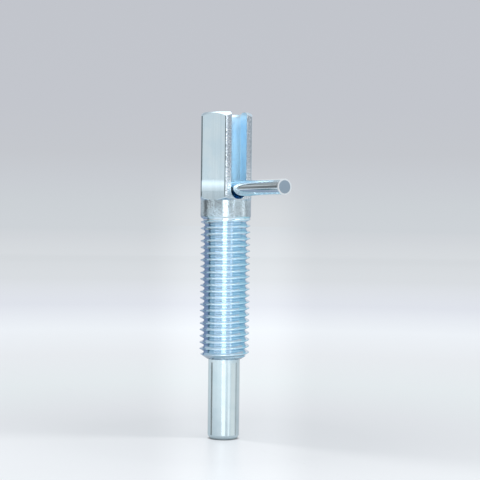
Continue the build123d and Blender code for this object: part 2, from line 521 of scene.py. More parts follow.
def head_outline(angle):
    # The head is open at both rims, where the thread's own rims will be bridged to it.
    outer_rim, inner_rim = thread_crest + 0.04, chamber_radius + 0.2
    flat = hexagon_radius(angle)
    foot = hexagon_foot + (flat - collar_radius) * math.tan(math.radians(foot_angle))
    shoulder = body_top - (flat - top_face_radius) * math.tan(math.radians(top_angle))
    return rounded(
        [
            (outer_rim, collar_bottom, 0),
            (collar_radius, collar_bottom, 0.12),
            (collar_radius, hexagon_foot, 0.1),
            (flat, foot, 0.3),
            (flat, shoulder, 0.2),
            (top_face_radius, body_top, 0.2),
            (upper_bore_radius + countersink, body_top, 0.12),
            (upper_bore_radius, body_top - countersink, 0.12),
            (upper_bore_radius, web_top, 0.25),
            (leg_hole_radius, web_top, 0.1),
            (leg_hole_radius, web_bottom, 0.1),
            (chamber_radius, web_bottom, 0.2),
            (chamber_radius, body_bottom, 0.12),
            (inner_rim, body_bottom, 0),
        ]
    )


head_mesh = turned("head", head_outline, head_angles())
print("head", len(head_mesh.polygons), "faces")

# %% [markdown]
# ## Helpers for Geometry Nodes
#
# The thread, the bent rod and the spring all follow a rule, so each is a node tree with its
# sizes as named inputs, built with the same short calls as the finishes. Each tree ends by
# making its geometry real and giving it its material. The finished mesh is taken off the
# modifier, so that what is kept is plain geometry.

# %% Build a tree
def new_tree(name, sizes):
    """A tree with named number inputs. Returns it with its input and output nodes."""
    tree = bpy.data.node_groups.new(name, "GeometryNodeTree")
    sockets = tree.interface
    sockets.new_socket("Geometry", in_out="INPUT", socket_type="NodeSocketGeometry")
    for label, value in sizes.items():
        kind = "NodeSocketInt" if isinstance(value, int) else "NodeSocketFloat"
        sockets.new_socket(label, in_out="INPUT", socket_type=kind).default_value = value
    sockets.new_socket("Finish", in_out="INPUT", socket_type="NodeSocketMaterial")
    sockets.new_socket("Geometry", in_out="OUTPUT", socket_type="NodeSocketGeometry")
    return tree, tree.nodes.new("NodeGroupInput"), tree.nodes.new("NodeGroupOutput")


def finish_tree(tree, start, end, geometry):
    smooth = add(tree, "GeometryNodeSetShadeSmooth", Geometry=geometry).outputs[0]
    real = add(tree, "GeometryNodeRealizeInstances", Geometry=smooth).outputs[0]
    finish = start.outputs["Finish"]
    painted = add(tree, "GeometryNodeSetMaterial", Geometry=real, Material=finish)
    tree.links.new(painted.outputs[0], end.inputs[0])


def moved(tree, geometry, x, y, z, scale=None):
    """Puts each point of the geometry at X, Y and Z."""
    spot = add(tree, "ShaderNodeCombineXYZ", X=x, Y=y, Z=z).outputs[0]
    if scale is not None:
        scaled = add(tree, "ShaderNodeVectorMath")
        scaled.operation = "SCALE"
        tree.links.new(spot, scaled.inputs[0])
        tree.links.new(scale, scaled.inputs["Scale"])
        spot = scaled.outputs[0]
    return add(tree, "GeometryNodeSetPosition", Geometry=geometry, Position=spot).outputs[0]


def position(tree):
    """X, Y and Z of each point of the geometry."""
    return join(tree, "ShaderNodeSeparateXYZ", add(tree, "GeometryNodeInputPosition").outputs[0])


def swept(tree, path, size, radius):
    """Carries a circle along a path, and closes both ends."""
    kind = "GeometryNodeCurvePrimitiveCircle"
    circle = add(tree, kind, Resolution=size["Sides"], Radius=size[radius]).outputs[0]
    rod = add(tree, "GeometryNodeCurveToMesh", Curve=path, Profile_Curve=circle, Fill_Caps=True)
    return rod.outputs[0]


# %% Run a tree
def in_scene(name, data):
    """Makes an object in the scene from a mesh, a curve, a lamp or a lens."""
    thing = bpy.data.objects.new(name, data)
    bpy.context.collection.objects.link(thing)
    return thing


def grow(name, build, sizes, finish, source=None):
    """Builds a tree, runs it on an object and returns the plain mesh that it makes."""
    host = source or in_scene(name, bpy.data.meshes.new(name))
    modifier = host.modifiers.new("Grow", "NODES")
    modifier.node_group = build(sizes)
    values = {**sizes, "Finish": finish}
    for item in modifier.node_group.interface.items_tree:
        if item.in_out == "INPUT" and item.name in values:
            modifier[item.identifier] = values[item.name]
    evaluated = host.evaluated_get(bpy.context.evaluated_depsgraph_get())
    mesh = bpy.data.meshes.new_from_object(evaluated)
    bpy.data.objects.remove(host)
    mesh.name = name
    return mesh


# %% [markdown]
# ## The rolled thread
#
# A coarse 2 mm thread runs the whole length of the shank. A screw modifier would sweep a
# profile upwards, but its two ends would need trimming and its run-out can't fade. Here the
# tree starts from a flat grid instead, and wraps it round the axis. Each row of the grid
# climbs by one pitch as it goes round, so the crests run along mesh edges and stay sharp.
# The radius at a point depends only on how far it is from the nearest crest, and the depth
# fades to nothing under the collar, as it does where a rolling die leaves the work.

# %% Heights on the grid
# Half a tooth's rows, in pitches from the crest: close at the two bends, wide on the flank.
HALF_TOOTH = [
    0.0, 0.025, 0.04, 0.05, 0.06, 0.07, 0.08, 0.095, 0.18, 0.28,
    0.375, 0.395, 0.415, 0.435, 0.455, 0.475, 0.5,
]


def spread_rows(tree, turn):
    """Moves evenly spaced rows to the places that HALF_TOOTH gives."""
    places = HALF_TOOTH + [1 - place for place in reversed(HALF_TOOTH[:-1])]
    node = tree.nodes.new("ShaderNodeFloatCurve")
    points = node.mapping.curves[0].points
    for row, place in enumerate(places[1:-1], start=1):
        points.new(row / (len(places) - 1), place)
    for point in points:
        point.handle_type = "VECTOR"
    node.mapping.update()
    tree.links.new(calc(tree, "FRACT", turn), node.inputs["Value"])
    return calc(tree, "ADD", calc(tree, "FLOOR", turn), node.outputs[0])


def thread_rows(tree, size, turns_below=2.0):
    """The share of a turn round the axis, and the height, of each point of the grid.

    The grid starts two turns under the first crest. What would stand out past either end
    of the shank is pressed flat on it.
    """
    x, y, _ = position(tree)
    around = calc(tree, "ADD", x, 0.5)
    turn = spread_rows(tree, product(tree, calc(tree, "ADD", y, 0.5), size["Turns"]))

    # A row's end meets the start of the row that is one turn higher.
    climbed = calc(tree, "SUBTRACT", calc(tree, "ADD", turn, around), turns_below)
    height = calc(tree, "MULTIPLY_ADD", climbed, size["Pitch"], size["Crest Height"])
    height = calc(tree, "MINIMUM", calc(tree, "MAXIMUM", height, size["Bottom"]), size["Top"])
    return around, height


# %% The radius at a height
CREST_HALF, ROOT_HALF = 0.06, 0.065     # half the width of each flat, in pitches
CREST_BEND, ROOT_BEND = 0.053, 0.107    # how far each bend reaches, as a share of the depth


def thread_radius(tree, size, around, height):
    # How far the point is from the nearest crest, in pitches: 0 on it and 0.5 in the root.
    above = calc(tree, "SUBTRACT", height, size["Crest Height"])
    phase = calc(tree, "SUBTRACT", calc(tree, "DIVIDE", above, size["Pitch"]), around)
    off_crest = calc(tree, "PINGPONG", phase, 0.5)

    # Flat on the crest, straight down the flank, flat in the root, and rounded between.
    flank = 0.5 - CREST_HALF - ROOT_HALF
    cut = calc(tree, "DIVIDE", calc(tree, "SUBTRACT", off_crest, CREST_HALF), flank)
    cut = calc(tree, "SMOOTH_MAX", cut, 0.0, CREST_BEND)
    cut = calc(tree, "SMOOTH_MIN", cut, 1.0, ROOT_BEND)

    fade = fit_range(tree, calc(tree, "SUBTRACT", size["Top"], height), 0.0, size["Run-out"])
    return calc(tree, "SUBTRACT", size["Crest Radius"], product(tree, cut, size["Depth"], fade))


# %% The thread's tree
def thread_tree(sizes):
    tree, start, end = new_tree("Rolled thread", sizes)
    size = start.outputs
    grid = add(
        tree,
        "GeometryNodeMeshGrid",
        Size_X=1.0,
        Size_Y=1.0,
        Vertices_X=calc(tree, "ADD", size["Columns"], 1),
        Vertices_Y=calc(tree, "ADD", product(tree, size["Turns"], size["Rows a Turn"]), 1),
    )
    around, height = thread_rows(tree, size)
    radius = thread_radius(tree, size, around, height)
    angle = product(tree, around, 2 * math.pi)
    x = product(tree, radius, calc(tree, "COSINE", angle))
    y = product(tree, radius, calc(tree, "SINE", angle))
    wrapped = moved(tree, grid.outputs["Mesh"], x, y, height, scale=size["Unit"])
    welded = add(tree, "GeometryNodeMergeByDistance", Geometry=wrapped, Distance=1e-6)
    finish_tree(tree, start, end, welded.outputs[0])
    return tree


# %% Roll the thread
thread_sizes = {
    "Pitch": thread_pitch,
    "Crest Radius": thread_crest,
    "Depth": thread_depth,
    "Bottom": body_bottom,
    "Top": collar_bottom,
    "Crest Height": first_crest_height,
    "Run-out": thread_run_out,
    "Turns": 25,
    "Columns": 96,
    "Rows a Turn": 32,
    "Unit": MM,
}
thread_mesh = grow("thread", thread_tree, thread_sizes, zinc)
print("thread", len(thread_mesh.polygons), "faces")


# %% [markdown]
# ## One closed blank
#
# The real body is one piece of steel, so its mesh is one closed skin. The head and the
# thread are open where they meet. Each pair of rims at the same height is bridged with a
# ring of faces: one pair under the collar, and one at the shank's end face.

# %% Find the open rims
def open_loops(form):
    rims = [edge for edge in form.edges if edge.is_boundary]
    loops = []
    while rims:
        loop, todo = set(), [rims[0]]
        while todo:
            edge = todo.pop()
            if edge in loop:
                continue
            loop.add(edge)
            todo += [e for v in edge.verts for e in v.link_edges if e.is_boundary]
        loops.append(list(loop))
        rims = [edge for edge in rims if edge not in loop]
    return loops


# %% Join the head and the thread
def joined(name, *meshes):
    form = bmesh.new()
    for mesh in meshes:
        form.from_mesh(mesh)
    by_height = {}
    for loop in open_loops(form):
        height = round(sum(e.verts[0].co.z for e in loop) / len(loop) / MM, 1)
        by_height.setdefault(height, []).extend(loop)
    for edges in by_height.values():
        bmesh.ops.bridge_loops(form, edges=edges)
    print(name, "rims at", sorted(by_height))
    return finished_mesh(form, name)


blank_mesh = joined("body_blank", head_mesh, thread_mesh)
print("blank", len(blank_mesh.polygons), "faces")


# %% [markdown]
# ## The slot and the lead
#
# Two cuts finish the body, and both are real cuts here too: a closed cutter is taken away
# with a Boolean. The slot's cutter is as wide as the milled slot and flares at the flat, so
# that the slot's edge comes out broken. The lead is turned on the end of the shank, and
# cutting it across the finished thread gives the thread the ragged start that a real one has.

# %% The milling cutter
def slot_cutter(arc_pieces=24, break_pieces=4, overrun=2.0, lead_in=1.0):
    """The slot's outline, at each of its sections from in front of the flat to the axis."""
    half, above = slot_width / 2, body_top + overrun
    sections = [(-lead_in, slot_edge_break)]
    for piece in range(break_pieces + 1):
        a = math.pi / 2 * piece / break_pieces
        depth, flare = 1 - math.cos(a), 1 - math.sin(a)
        sections.append((slot_edge_break * depth, slot_edge_break * flare))
    sections.append((across_flats / 2, 0.0))
    form = bmesh.new()
    rings = []
    for depth, flare in sections:
        reach = half + flare
        outline = [(reach, above)]
        for i in range(arc_pieces + 1):
            a = math.pi * i / arc_pieces
            outline.append((reach * math.cos(a), slot_floor + half - reach * math.sin(a)))
        outline.append((-reach, above))
        y = depth - across_flats / 2
        rings.append([form.verts.new((x * MM, y * MM, z * MM)) for x, z in outline])
    for here, there in zip(rings, rings[1:]):
        for k in range(len(here)):
            m = (k + 1) % len(here)
            form.faces.new((here[k], here[m], there[m], there[k]))
    form.faces.new(rings[0])
    form.faces.new(rings[-1])
    return finished_mesh(form, "slot_cutter")


# %% The turning tool
def lead_tool(margin=0.8):
    slope = math.tan(math.radians(lead_angle))
    low, outside = body_bottom - margin, thread_crest + margin
    outline = [
        Vector((lead_radius - margin / slope, low)),
        Vector((outside, body_bottom + (outside - lead_radius) * slope)),
        Vector((outside, low)),
    ]
    return turned("lead_tool", lambda angle: outline, evenly(160), closed=True)


# %% Cut the blank
def cut_away(blank, *cutters):
    piece = in_scene("cut", blank)
    helpers = [in_scene(mesh.name, mesh) for mesh in cutters]
    for helper in helpers:
        modifier = piece.modifiers.new(helper.name, "BOOLEAN")
        modifier.operation = "DIFFERENCE"
        modifier.solver = "MANIFOLD"
        modifier.object = helper
    evaluated = piece.evaluated_get(bpy.context.evaluated_depsgraph_get())
    mesh = bpy.data.meshes.new_from_object(evaluated)
    for helper in [piece, *helpers]:
        bpy.data.objects.remove(helper)
    return mesh


body_mesh = cut_away(blank_mesh, slot_cutter(), lead_tool())
print("cut body", len(body_mesh.polygons), "faces")


# %% [markdown]
# ## Putting a piece in its place
#
# Each finished mesh becomes an object that rides on one of the moving bodies and stands for
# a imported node. Its edges are marked sharp wherever two faces meet at a steep angle, so that
# smooth shading doesn't smear round a corner.

# %% Place a piece
SHARP_ABOVE = math.radians(35)


def place(mesh, name, body, slot, nodes, *finishes):
    mesh.name = name
    mesh.materials.clear()
    for finish in finishes:
        mesh.materials.append(finish)
    mesh.set_sharp_from_angle(angle=SHARP_ABOVE)
    piece = in_scene(name, mesh)
    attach(piece, body)
    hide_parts(*nodes)
    print(name, "triangles", sum(len(face.vertices) - 2 for face in mesh.polygons))
    return piece


# %% The body, with the matt finish inside
def is_inside(centre, cone_share=0.95, margin=0.01):
    """Whether a face is in a bore or in the slot, whose lower end is round."""
    in_bore = math.hypot(centre.x, centre.y) < upper_bore_radius + cone_share * countersink
    under_straight = min(centre.z - slot_floor - slot_width / 2, 0)
    from_middle = math.hypot(centre.x, under_straight)
    in_slot = centre.y < 0 and from_middle < slot_width / 2 + margin
    return in_bore or in_slot


place(body_mesh, "threaded_body", "housing", "zinc_plated_steel", ["body"], zinc, inner_zinc)
for face in body_mesh.polygons:
    face.material_index = int(is_inside(face.center / MM))
print("inside faces", sum(face.material_index for face in body_mesh.polygons))


# %% [markdown]
# ## The pin
#
# The pin is turned and then ground on its nose and on its guide, with a narrow relief
# groove between the two. Its end has a steep lead-in, so it finds the hole that it drops
# into. It is round everywhere, so one outline does for every angle.

# %% Turn the pin
def pin_outline(angle):
    drilled = pin_top - press_depth
    relief_top = body_bottom + pin_relief_length
    return rounded(
        [
            (0, 0, 0),
            (pin_end_radius, 0, 0.25),
            (pin_radius, pin_lead_in, 0.6),
            (pin_radius, body_bottom, 0.1),
            (pin_radius - pin_relief_depth, body_bottom, 0),
            (pin_radius - pin_relief_depth, relief_top, 0),
            (pin_radius, relief_top, 0.1),
            (pin_radius, pin_top - pin_shoulder, 0.1),
            (pin_radius - pin_shoulder, pin_top, 0.1),
            (rod_radius, pin_top, 0.1),
            (rod_radius, drilled, 0),
            (0, drilled - rod_radius / math.tan(math.radians(drill_half_angle)), 0),
        ]
    )


pin_mesh = turned("pin", pin_outline, evenly(144))
place(pin_mesh, "locating_pin", "plunger", "zinc_plated_pin", ["plunger_pin"], pin_finish)


# %% [markdown]
# ## The bent handle
#
# The handle is one rod with a cold bend. A path with a filleted corner carries a circle
# along it, which is what Curve to Mesh does. Each point of the path has its own radius, so
# the chamfers at both ends are part of the same sweep.

# %% The handle's tree
def rod_tree(sizes):
    tree, start, end = new_tree("Bent rod", sizes)
    size = start.outputs
    bent = add(tree, "GeometryNodeFilletCurve", Curve=size["Geometry"], Limit_Radius=True)
    bent.mode = "POLY"
    feed(tree, bent.inputs["Radius"], size["Bend Radius"])
    feed(tree, bent.inputs["Count"], size["Bend Pieces"])
    rod = swept(tree, bent.outputs[0], size, "Rod Radius")
    welded = add(tree, "GeometryNodeMergeByDistance", Geometry=rod, Distance=1e-7)
    finish_tree(tree, start, end, welded.outputs[0])
    return tree


# %% The handle's path
def rod_path():
    """The rod's centreline. Each point's radius is the rod's there, so the ends taper."""
    end = rounded(
        [
            (0, 0, 0),
            (rod_radius - rod_end_chamfer, 0, 0.1),
            (rod_radius, rod_end_chamfer, 0.15),
            (rod_radius, 3 * rod_end_chamfer, 0),
        ],
        hold=0.05,
    )
    tip = [(inset, r) for r, inset in end[2:]]
    stations = [(Vector((0, 0, leg_bottom + inset)), r) for inset, r in tip]
    stations.append((Vector((0, 0, arm_height)), rod_radius))
    stations += [(Vector((0, inset - arm_reach, arm_height)), r) for inset, r in reversed(tip)]
    curve = bpy.data.curves.new("rod_path", "CURVE")
    curve.dimensions = "3D"
    spline = curve.splines.new("POLY")
    spline.points.add(len(stations) - 1)
    for point, (spot, r) in zip(spline.points, stations):
        point.co = (*(spot * MM), 1)
        point.radius = r / rod_radius
    return in_scene("rod_path", curve)


# %% Bend the handle
rod_sizes = {
    "Rod Radius": rod_radius * MM,
    "Bend Radius": bend_radius * MM,
    "Bend Pieces": 32,
    "Sides": 72,
}
rod_mesh = grow("rod", rod_tree, rod_sizes, rod_finish, source=rod_path())
place(rod_mesh, "bent_handle", "plunger", "bright_rod", ["l_handle"], rod_finish)


# %% [markdown]
# ## The spring
#
# A compression spring has one dead coil at each end, ground flat so that it pushes squarely.
# The tree winds a line into a helix that hardly climbs over each dead coil and climbs
# evenly in between, and then presses the ends flat, as grinding does. The pull squashes
# the spring to 0.302 of its length, which is the room left under the web.

# %% The spring's tree
def coil_height(tree, size, share):
    """The wire's height. Most of the climb is between the two dead coils."""
    closed = calc(tree, "DIVIDE", size["Closed Coils"], size["Coils"])
    last = calc(tree, "SUBTRACT", 1.0, closed)
    rise = add(tree, "ShaderNodeMapRange", Value=share, From_Min=closed, From_Max=last)

    # The height of both dead ends, closely wound, is shared out along the whole wire.
    dead = product(tree, size["Closed Coils"], size["Wire Radius"], 4.0)
    room = calc(tree, "SUBTRACT", calc(tree, "SUBTRACT", size["Top"], size["Bottom"]), dead)
    climb = calc(tree, "MULTIPLY_ADD", rise.outputs[0], room, product(tree, share, dead))
    return calc(tree, "ADD", climb, size["Bottom"])


def coil_tree(sizes):
    tree, start, end = new_tree("Ground coil", sizes)
    size = start.outputs
    line = add(tree, "GeometryNodeCurvePrimitiveLine").outputs[0]
    steps = add(tree, "GeometryNodeResampleCurve", Curve=line, Count=size["Points"])
    share = add(tree, "GeometryNodeSplineParameter").outputs["Factor"]
    angle = product(tree, share, size["Coils"], 2 * math.pi)
    x = product(tree, calc(tree, "COSINE", angle), size["Coil Radius"])
    y = product(tree, calc(tree, "SINE", angle), size["Coil Radius"])
    wound = moved(tree, steps.outputs[0], x, y, coil_height(tree, size, share))
    wire = swept(tree, wound, size, "Wire Radius")

    x, y, z = position(tree)
    pressed = calc(tree, "MINIMUM", calc(tree, "MAXIMUM", z, size["Bottom"]), size["Top"])
    finish_tree(tree, start, end, moved(tree, wire, x, y, pressed))
    return tree


# %% Wind the spring
coil_sizes = {
    "Wire Radius": wire_diameter / 2 * MM,
    "Coil Radius": (coil_high.x - wire_diameter / 2) * MM,
    "Bottom": pin_top * MM,
    "Top": web_bottom * MM,
    "Coils": coil_count,
    "Closed Coils": 1.0,
    "Points": 500,
    "Sides": 16,
}
coil_mesh = grow("coil", coil_tree, coil_sizes, wire_finish)
spring_piece = place(coil_mesh, "coil_spring", "housing", "spring_wire", ["spring"], wire_finish)
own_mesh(spring_piece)


# %% [markdown]
# ## The floor
#
# Metal shows whatever stands around it, so the studio is half of the finish. The floor is a
# wide sheet of pale, slightly glossy board. It takes the lamps' light and a soft shadow,
# and a share of its brightness is its own, in rings that end at the backdrop's grey at the
# horizon, so that no line shows where the two meet. The board that shiny steel sees is
# brighter on the camera's side, as it is under the lamps.
#
# A faint lane of light runs along the board, from the camera past the object. Ambient
# Occlusion with a reach of about a millimetre darkens the board's own glow just where the
# pin's end touches it: painted shade, worked out from the shapes. A dark spot painted at a
# fixed place would stay on the floor when the pin is drawn up, and this one is gone with the pin.

# %% Helpers for the studio
def cleared(owner):
    """Empties the node tree of a material or of the world, and returns the tree."""
    owner.use_nodes = True
    owner.node_tree.nodes.clear()
    return owner.node_tree


def grey_ramp(tree, value, stops):
    """stops are (place from 0 to 1, colour), or (place, grey)."""
    ramp = tree.nodes.new("ShaderNodeValToRGB")
    tree.links.new(value, ramp.inputs["Fac"])
    points = ramp.color_ramp.elements
    while len(points) < len(stops):
        points.new(0.5)
    for point, (place_on_ramp, colour) in zip(points, stops):
        point.position = place_on_ramp
        point.color = (*(colour if isinstance(colour, tuple) else (colour,) * 3), 1)
    return ramp.outputs["Color"]


def glow(tree, colour, strength=1.0):
    return add(tree, "ShaderNodeEmission", Color=colour, Strength=strength).outputs[0]


# %% Places and directions round the object
CAMERA_DISTANCE = 0.430
CAMERA_BEARING = -120    # from the X axis, in degrees


def round_the_object(degrees, distance, height):
    """0 degrees is the camera's side and 90 is to its right."""
    a = math.radians(degrees + CAMERA_BEARING)
    return Vector((distance * math.cos(a), distance * math.sin(a), height))


def toward(tree, vector, way):
    """How far a vector goes in a direction."""
    return join(tree, "ShaderNodeVectorMath", vector, way, operation="DOT_PRODUCT")["Value"]


LANE_MIDDLE, LANE_INNER, LANE_OUTER = 0.005, 0.026, 0.064    # metres across for one ahead


def light_lane(tree, across, ahead):
    """1 in a narrow wedge that runs from under the camera past the object, 0 beside it."""
    off_middle = calc(tree, "SUBTRACT", calc(tree, "DIVIDE", across, ahead), LANE_MIDDLE)
    off_middle = calc(tree, "ABSOLUTE", off_middle)
    return fit_range(tree, off_middle, LANE_INNER, LANE_OUTER, 1.0, 0.0)


# %% What the board reflects
def board_surface(tree, metres, camera_side):
    """Matt board with a slight polish, which fades to nothing far from the object."""
    matt = add(tree, "ShaderNodeBsdfDiffuse", Color=(0.235, 0.235, 0.24, 1)).outputs[0]
    gloss = add(tree, "ShaderNodeBsdfGlossy", Roughness=0.30).outputs[0]
    fresnel = add(tree, "ShaderNodeFresnel", IOR=1.45).outputs[0]
    polish = product(tree, fresnel, fit_range(tree, camera_side, 0.1, 0.5, 0.1, 0.5))
    surface = join(tree, "ShaderNodeMixShader", polish, matt, gloss)[0]
    near = fit_range(tree, metres, 0.5, 2.5, 1.0, 0.0)
    nothing = glow(tree, (1, 1, 1, 1), 0.0)
    return join(tree, "ShaderNodeMixShader", near, nothing, surface)[0]


# %% The board's own brightness
CONTACT_REACH = 0.0012    # metres
FLOOR_TINTS = [    # distance in metres, colour
    (0.045, (0.37, 0.40, 0.43)),
    (0.08, (0.41, 0.44, 0.47)),
    (0.16, (0.45, 0.50, 0.52)),
    (0.28, (0.48, 0.51, 0.54)),
    (0.45, (0.53, 0.57, 0.61)),
    (0.72, (0.45, 0.48, 0.54)),
    (1.25, (0.51, 0.54, 0.57)),
    (1.87, (0.62, 0.65, 0.68)),
    (2.6, (0.68, 0.71, 0.74)),
    (6.0, (0.646, 0.674, 0.708)),
    (18.0, (0.617, 0.651, 0.686)),
]
RAMP_START, RAMP_DECADES = -1.5, 3.0    # powers of ten of a metre: from 30 mm to 30 m


def board_glow(tree, metres, to_front, camera_side):
    """Light of the board's own, which the camera and shiny or clear things see."""
    power = calc(tree, "SUBTRACT", calc(tree, "LOGARITHM", metres, 10.0), RAMP_START)
    far = calc(tree, "DIVIDE", power, RAMP_DECADES)
    stops = [((math.log10(m) - RAMP_START) / RAMP_DECADES, tint) for m, tint in FLOOR_TINTS]

    spill = product(
        tree,
        fit_range(tree, camera_side, 0.50, 0.82),
        fit_range(tree, metres, 0.5, 0.9, 0.0, 1.1),
        fit_range(tree, metres, 2.0, 5.0, 1.0, 0.0),
    )
    spill = calc(tree, "SUBTRACT", spill, fit_range(tree, camera_side, -0.3, -0.7, 0.0, 0.2))
    rays = add(tree, "ShaderNodeLightPath").outputs
    spill = product(tree, spill, rays["Is Glossy Ray"])
    # Painted light: the board's own glow is up to 12 % brighter on the object's front side than
    # behind it.
    strength = calc(tree, "ADD", fit_range(tree, to_front, -0.02, 0.06, 1.0, 1.12), spill)

    # Painted shade: the board's own glow is darkened where Ambient Occlusion finds the pin close
    # by.
    contact_shade = add(tree, "ShaderNodeAmbientOcclusion", Distance=CONTACT_REACH).outputs["AO"]
    strength = product(tree, strength, fit_range(tree, contact_shade, 0.3, 0.8, 0.1, 1.0))
    seen = calc(tree, "MAXIMUM", rays["Is Camera Ray"], rays["Is Glossy Ray"])
    seen = calc(tree, "MAXIMUM", seen, rays["Is Transmission Ray"])
    return glow(tree, grey_ramp(tree, far, stops), product(tree, seen, strength))


# %% Lay the floor
LANE_BRIGHTNESS = 0.085


def floor_board():
    finish = bpy.data.materials.new("pale_board")
    tree = cleared(finish)
    spot = add(tree, "ShaderNodeTexCoord").outputs["Object"]
    metres = join(tree, "ShaderNodeVectorMath", spot, operation="LENGTH")["Value"]
    to_front = toward(tree, spot, round_the_object(-18, 1.0, 0.0))
    camera_side = calc(tree, "DIVIDE", to_front, metres)

    across = toward(tree, spot, round_the_object(90, 1.0, 0.0))
    to_camera = toward(tree, spot, round_the_object(0, 1.0, 0.0))
    lane = light_lane(tree, across, calc(tree, "SUBTRACT", CAMERA_DISTANCE, to_camera))
    by_camera = add(tree, "ShaderNodeLightPath").outputs["Is Camera Ray"]
    lane = glow(tree, (0.96, 0.99, 1.0, 1), product(tree, lane, by_camera, LANE_BRIGHTNESS))

    surface = board_surface(tree, metres, camera_side)
    own = board_glow(tree, metres, to_front, camera_side)
    board = join(tree, "ShaderNodeAddShader", surface, own)[0]
    board = join(tree, "ShaderNodeAddShader", board, lane)[0]
    add(tree, "ShaderNodeOutputMaterial", Surface=board)
    return finish


def floor(radius=60.0):
    form = bmesh.new()
    bmesh.ops.create_circle(form, cap_ends=True, segments=128, radius=radius)
    mesh = bpy.data.meshes.new("floor")
    form.to_mesh(mesh)
    form.free()
    mesh.materials.append(floor_board())
    sheet = in_scene("floor", mesh)
    print("floor", 2 * radius, "m across, finish", mesh.materials[0].name)


floor()


# %% [markdown]
# ## The backdrop
#
# The camera sees a plain grey backdrop that lightens towards the floor, with the lane of
# light going on a little way up it. What lights the object and shows in its polish is a
# second, brighter ramp, with the thin bright line that a lit sweep has where it turns up
# from the floor. It is brightest behind the camera, and dim high up at the back left.
#
# Both ramps go by how steeply a direction climbs. The camera sees only the lowest part of
# the room, so they end a quarter of the way up.

# %% The room
RAMP_TOP = 0.25
BACKDROP = [    # share of RAMP_TOP, colour
    (0.0, (0.617, 0.651, 0.686)),
    (0.06, (0.604, 0.638, 0.672)),
    (0.13, (0.584, 0.610, 0.651)),
    (0.21, (0.558, 0.578, 0.617)),
    (0.35, (0.546, 0.565, 0.611)),
    (0.64, (0.539, 0.558, 0.604)),
]
LIT_ROOM = [
    (0.0, (0.60, 0.61, 0.62)),
    (0.095, (0.60, 0.61, 0.62)),
    (0.115, 1.0),
    (0.136, 0.92),
    (0.20, 0.84),
    (0.33, 0.84),
    (0.6, 0.92),
]


def backdrop(tree, way, z, up):
    across = toward(tree, way, round_the_object(90, 1.0, 0.0))
    ahead = product(tree, toward(tree, way, round_the_object(0, 1.0, 0.0)), -1.0)
    lane = product(tree, light_lane(tree, across, ahead), fit_range(tree, z, 0.0, 0.05, 0.2, 0.0))
    return mix_tints(tree, lane, grey_ramp(tree, up, BACKDROP), (1.0, 1.0, 1.0))


def lit_room(tree, way, up):
    behind_camera = toward(tree, way, round_the_object(-20, 1.0, 0.05))
    above_floor = fit_range(tree, up, 0.15, 0.35)
    bright = product(tree, fit_range(tree, behind_camera, 0.78, 0.92), above_floor, 0.75)
    high_left = toward(tree, way, round_the_object(-118, 0.75, 0.66))
    dim = product(tree, fit_range(tree, high_left, 0.62, 0.9), 0.6)
    lit = mix_tints(tree, bright, grey_ramp(tree, up, LIT_ROOM), (1.6, 1.6, 1.6))
    return mix_tints(tree, dim, lit, (0.35, 0.35, 0.35))


def room():
    world = bpy.data.worlds.new("room")
    tree = cleared(world)
    way = add(tree, "ShaderNodeTexCoord").outputs["Generated"]
    _, _, z = join(tree, "ShaderNodeSeparateXYZ", way)
    up = product(tree, z, 1 / RAMP_TOP)
    by_camera = add(tree, "ShaderNodeLightPath").outputs["Is Camera Ray"]
    colour = mix_tints(tree, by_camera, lit_room(tree, way, up), backdrop(tree, way, z, up))
    background = add(tree, "ShaderNodeBackground", Color=colour)
    add(tree, "ShaderNodeOutputWorld", Surface=background.outputs[0])
    bpy.context.scene.world = world
    print("world", world.name)


room()


# %% [markdown]
# ## Lamps
#
# Polished steel is lit with a few tall softboxes. The front strip makes the white line
# down the middle of every round face, and the right strip the thinner one beside it. The
# other two lift the right side and the tops.

# %% Softboxes
def softbox(name, degrees, distance, height, width, tall, radiance, look=0.06):
    """radiance is what the box looks like from any distance, so its power follows from it."""
    lamp = bpy.data.lights.new(name, "AREA")
    lamp.shape = "RECTANGLE"
    lamp.size, lamp.size_y = width, tall
    lamp.energy = radiance * math.pi * width * tall
    box = in_scene(name, lamp)
    box.location = round_the_object(degrees, distance, height)
    box.rotation_euler = (Vector((0, 0, look)) - box.location).to_track_quat("-Z", "Y").to_euler()
    box.visible_camera = False
    print(name, round(lamp.energy, 2), "W")


SOFTBOXES = [    # name, degrees, distance, height, width, tall, radiance
    ("front_strip", -4, 1.3, 0.62, 0.54, 1.2, 3.4),
    ("right_strip", 35, 1.3, 0.62, 0.24, 1.2, 1.3),
    ("right_top", 62, 0.9, 0.9, 0.5, 0.5, 1.8),
    ("overhead", 180, 0.15, 1.2, 1.1, 1.1, 1.45),
]
for row in SOFTBOXES:
    softbox(*row)


# %% [markdown]
# ## Cards
#
# Between the lamps hang black, grey and white cards, because a bright edge only reads as an
# edge beside a dark one. They make the thin dark lines near the silhouettes and the pale
# line across the hexagon. They are seen only in reflections, so they cast no shadow and
# take no light away.
#
# The far cards stand round the hexagon, and both their sides shine. The near ones stand
# close round the thread, the collar and the pin, and just in front of the slot's mouth,
# where one puts light on the channel. Each shows mostly in the piece behind it. A near card
# is clear from outside, and it fades where it is met at a slant, which keeps it out of the
# floor's gloss and out of the faces above and below it.

# %% Cards that show only in shiny faces
def inward(tree, light):
    """Light only from a card's inner side, and only where it is met nearly square."""
    inside = add(tree, "ShaderNodeNewGeometry").outputs["Backfacing"]
    slant = add(tree, "ShaderNodeLayerWeight").outputs["Facing"]
    share = product(tree, inside, fit_range(tree, slant, 0.16, 0.28, 1.0, 0.0))
    clear = add(tree, "ShaderNodeBsdfTransparent").outputs[0]
    return join(tree, "ShaderNodeMixShader", share, clear, light)[0]


